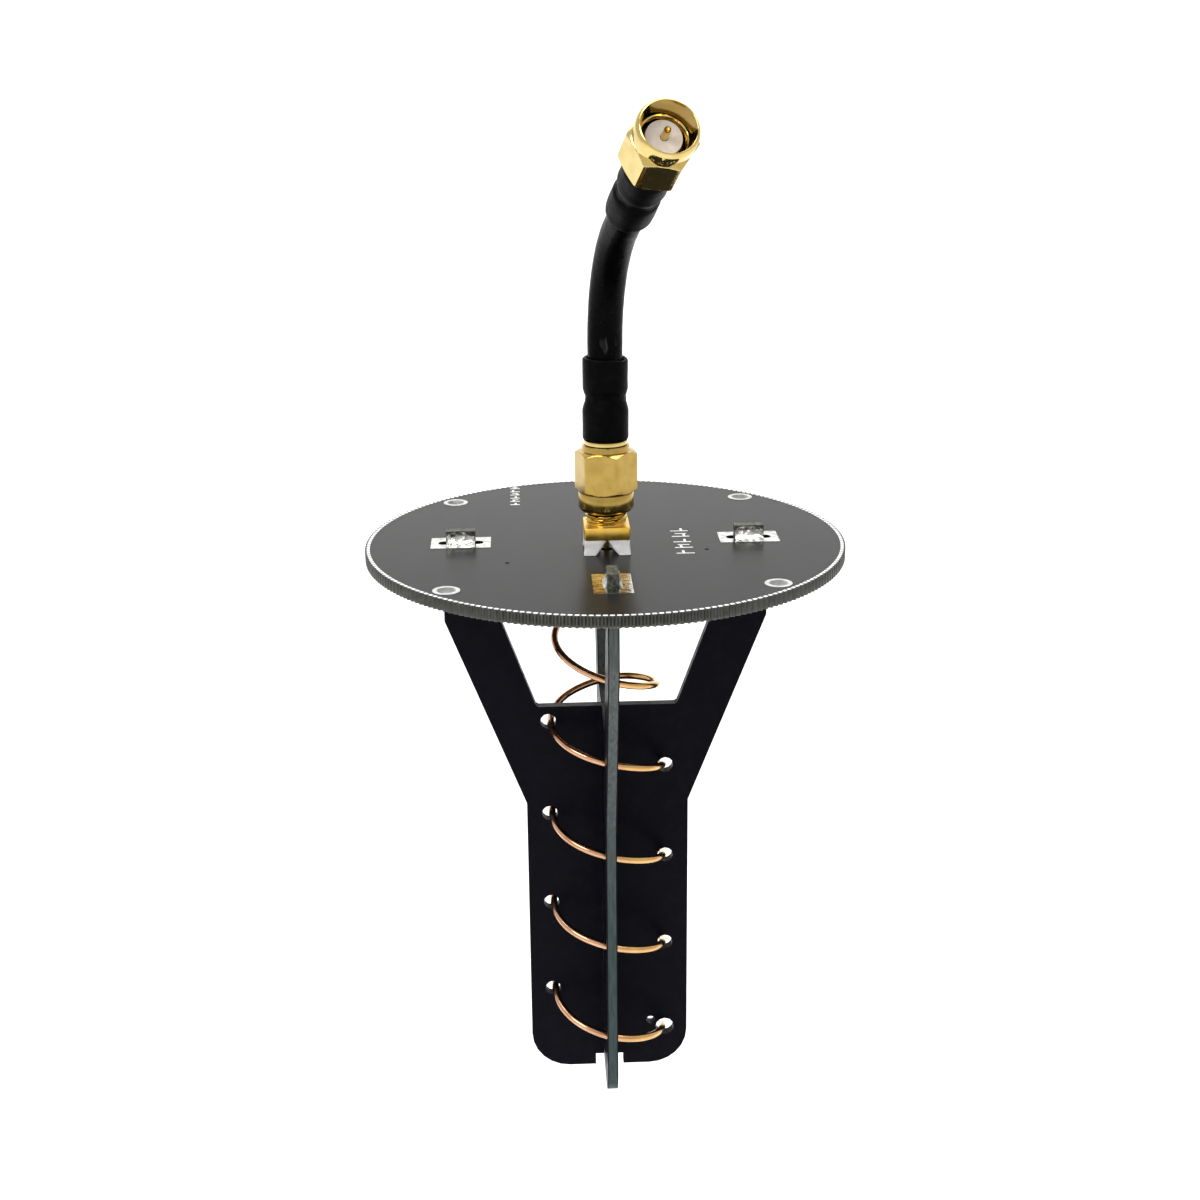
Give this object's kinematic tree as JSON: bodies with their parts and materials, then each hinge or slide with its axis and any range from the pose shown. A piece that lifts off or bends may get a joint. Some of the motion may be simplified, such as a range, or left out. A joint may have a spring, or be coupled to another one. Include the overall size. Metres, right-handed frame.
{
  "type": "helical antenna",
  "caption": "Axial-mode helical antenna: round board reflector, crossed board supports that carry a copper helix, rear coaxial jack and a short screw-on lead.",
  "frame": {"origin": "centre of the reflector's rear face, the face that carries the jack", "axes": "+Z out of the reflector's rear face, away from the helix, along the helix axis; +Y away from the jack; +X completes the right-handed frame. The boresight is -Z."},
  "size_m": [0.07, 0.0738, 0.1522],
  "materials": {
    "solder_mask": "satin black solder mask over glass-epoxy laminate",
    "rim_tin": "tinned castellated edge",
    "solder_tin": "bright tin solder",
    "black_laminate": "black solder mask, satin",
    "copper_wire": "enamelled copper, glossy",
    "gold_plate": "polished gold plate",
    "white_dielectric": "white fluoropolymer",
    "seal_rubber": "matt black rubber",
    "shrink_sleeve": "matt black heat-shrink sleeve",
    "braid_tin": "tinned copper braid",
    "cable_jacket": "satin black cable jacket"
  },
  "bodies": {
    "antenna": {"reflector_board": "solder_mask", "rim_plating": "rim_tin", "mounting_eyelet_1": "solder_tin", "mounting_eyelet_2": "solder_tin", "mounting_eyelet_3": "solder_tin", "mounting_eyelet_4": "solder_tin", "tab_land_1": "solder_tin", "tab_land_2": "solder_tin", "tab_land_3": "solder_tin", "tab_land_4": "solder_tin", "tab_solder_1_a": "solder_tin", "tab_solder_1_b": "solder_tin", "tab_solder_2_a": "solder_tin", "tab_solder_2_b": "solder_tin", "tab_solder_3_a": "solder_tin", "tab_solder_3_b": "solder_tin", "tab_solder_4_a": "solder_tin", "tab_solder_4_b": "solder_tin", "leg_solder_1": "solder_tin", "leg_solder_2": "solder_tin", "leg_solder_3": "solder_tin", "leg_solder_4": "solder_tin", "support_board_a": "black_laminate", "support_board_b": "black_laminate", "helix_wire": "copper_wire", "feed_solder": "solder_tin", "jack_shell": "gold_plate", "jack_dielectric": "white_dielectric", "jack_contact": "gold_plate"},
    "plug_carrier": {"lower_retaining_ring": "gold_plate"},
    "lower_nut": {"lower_coupling_nut": "gold_plate"},
    "lead": {"lower_gasket": "seal_rubber", "lower_plug_body": "gold_plate", "lower_plug_dielectric": "white_dielectric", "lower_plug_pin": "gold_plate", "lower_crimped_braid": "braid_tin", "lower_crimp_ferrule": "gold_plate", "lower_boot": "shrink_sleeve", "cable_jacket": "cable_jacket", "cable_braid": "braid_tin", "cable_insulation": "white_dielectric", "cable_core": "copper_wire", "upper_retaining_ring": "gold_plate", "upper_gasket": "seal_rubber", "upper_plug_body": "gold_plate", "upper_plug_dielectric": "white_dielectric", "upper_plug_pin": "gold_plate", "upper_crimped_braid": "braid_tin", "upper_crimp_ferrule": "gold_plate", "upper_boot": "shrink_sleeve"},
    "upper_nut": {"upper_coupling_nut": "gold_plate"}
  },
  "joints": [
    {"name": "lead_lift", "type": "slide", "parent": "antenna", "child": "plug_carrier", "axis": [0, 0, 1], "range_m": [0, 0.0049]},
    {"name": "lower_nut_turn", "type": "hinge", "parent": "plug_carrier", "child": "lower_nut", "pos_m": [0, -0.0046, 0.0105], "axis": [0, 0, 1], "range_deg": [0, 2520]},
    {"name": "lead_swivel", "type": "hinge", "parent": "plug_carrier", "child": "lead", "pos_m": [0, -0.0046, 0.0135], "axis": [0, 0, 1], "continuous": true},
    {"name": "upper_nut_spin", "type": "hinge", "parent": "lead", "child": "upper_nut", "pos_m": [0.00633, -0.03681, 0.06137], "axis": [0.1638, -0.8341, 0.5268], "continuous": true}
  ],
  "couplings": [
    {"joint": "lower_nut_turn", "follows": "lead_lift", "rad_per_m": 8904.7}
  ]
}
